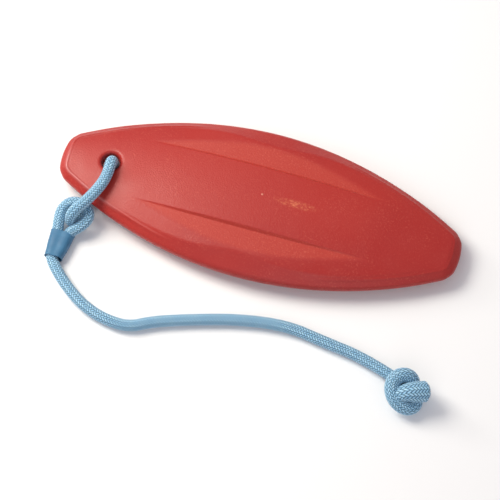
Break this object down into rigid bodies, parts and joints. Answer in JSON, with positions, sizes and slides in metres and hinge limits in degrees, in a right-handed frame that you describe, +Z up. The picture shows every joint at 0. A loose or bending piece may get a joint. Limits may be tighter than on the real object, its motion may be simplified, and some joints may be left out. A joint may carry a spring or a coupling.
{
  "type": "board float with rope lead",
  "caption": "Small moulded foam board float with scooped deck and a rope hole near one end; a rope loop, eye, sleeve and knotted lead hang from the hole.",
  "frame": {"origin": "under the middle of the board, on the surface that it rests on", "axes": "+X along the board away from the roped end, +Y across the board away from the rope lead, +Z up"},
  "size_m": [0.2958, 0.1815, 0.0305],
  "materials": {
    "red_foam": "satin",
    "blue_braid": "matte",
    "blue_sleeve": "satin"
  },
  "bodies": {
    "board": {"board_body": "red_foam"},
    "becket": {"rope_becket": "blue_braid"},
    "lead": {"rope_eye": "blue_braid", "crimp_sleeve": "blue_sleeve", "rope_lead": "blue_braid", "end_knot": "blue_braid"}
  },
  "joints": [
    {"name": "becket_swing", "type": "hinge", "parent": "board", "child": "becket", "pos_m": [-0.1095, 0, 0], "axis": [0, 0, 1], "range_deg": [-22, 4]},
    {"name": "lead_swing", "type": "hinge", "parent": "becket", "child": "lead", "pos_m": [-0.1234, -0.0456, 0], "axis": [0, 0, 1], "range_deg": [-25, 4]}
  ]
}
